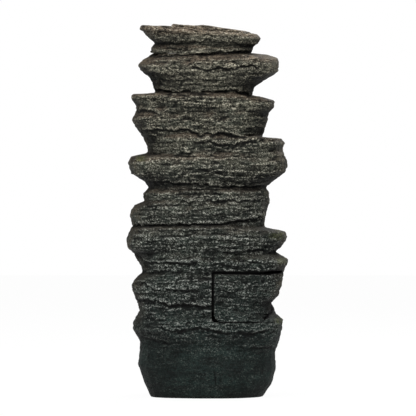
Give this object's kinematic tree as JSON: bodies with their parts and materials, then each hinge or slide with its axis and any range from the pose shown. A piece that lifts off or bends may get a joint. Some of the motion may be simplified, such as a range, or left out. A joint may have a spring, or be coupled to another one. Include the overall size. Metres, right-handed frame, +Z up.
{
  "type": "garden fountain",
  "caption": "Tall hollow garden fountain shaped as a leaning pile of slate slabs, with stepped pools, a base reservoir, an inside pump and hose, and a lift-out door at the back.",
  "frame": {"origin": "middle of the flat underside, on the ground", "axes": "+Z up; the water falls down the -Y side, the access door is on the +Y side, and +X is to the left for someone who looks at the door"},
  "size_m": [0.436, 0.35, 1],
  "materials": {
    "cast_rock": "matte",
    "tub_laminate": "satin",
    "pump_plastic": "satin",
    "grey_plastic": "satin",
    "rubber": "matte",
    "clear_hose": "satin",
    "stainless_steel": "satin",
    "ferrite": "matte"
  },
  "bodies": {
    "tower": {"rear_shell": "cast_rock", "front_shell": "cast_rock", "top_slab": "cast_rock", "crown_stone": "cast_rock", "door_frame": "tub_laminate", "frame_magnet_1": "ferrite", "frame_magnet_2": "ferrite", "frame_magnet_3": "ferrite", "reservoir_tub": "tub_laminate", "basin_screen": "tub_laminate", "pump_housing": "pump_plastic", "pump_volute_cover": "pump_plastic", "pump_shaft": "stainless_steel", "pump_cord_gland": "rubber", "pump_outlet_barb": "grey_plastic", "pump_suction_cup_1": "rubber", "pump_suction_cup_2": "rubber", "pump_suction_cup_3": "rubber", "pump_suction_cup_4": "rubber", "riser_hose": "clear_hose", "hose_clamp_lower": "stainless_steel", "hose_clamp_upper": "stainless_steel", "hose_clip_1": "grey_plastic", "hose_clip_2": "grey_plastic", "spout_fitting": "pump_plastic", "spout_nut": "pump_plastic"},
    "door": {"access_door": "cast_rock", "door_plate_1": "stainless_steel", "door_plate_2": "stainless_steel", "door_plate_3": "stainless_steel"},
    "impeller": {"pump_impeller": "ferrite"},
    "intake_cage": {"pump_intake_cage": "pump_plastic"},
    "flow_dial": {"pump_flow_dial": "grey_plastic"},
    "drain_stopper": {"drain_plug": "rubber"}
  },
  "joints": [
    {"name": "door_pull", "type": "slide", "parent": "tower", "child": "door", "axis": [0, 1, 0], "range_m": [0, 0.16]},
    {"name": "impeller_spin", "type": "hinge", "parent": "tower", "child": "impeller", "pos_m": [-0.085, 0.068, 0.0403], "axis": [1, 0, 0], "continuous": true},
    {"name": "cage_pull", "type": "slide", "parent": "tower", "child": "intake_cage", "axis": [1, 0, 0], "range_m": [0, 0.045]},
    {"name": "dial_turn", "type": "hinge", "parent": "intake_cage", "child": "flow_dial", "pos_m": [-0.0287, 0.068, 0.0403], "axis": [1, 0, 0], "range_deg": [0, 120]},
    {"name": "plug_pull", "type": "slide", "parent": "tower", "child": "drain_stopper", "axis": [0, 0, 1], "range_m": [0, 0.04]}
  ]
}
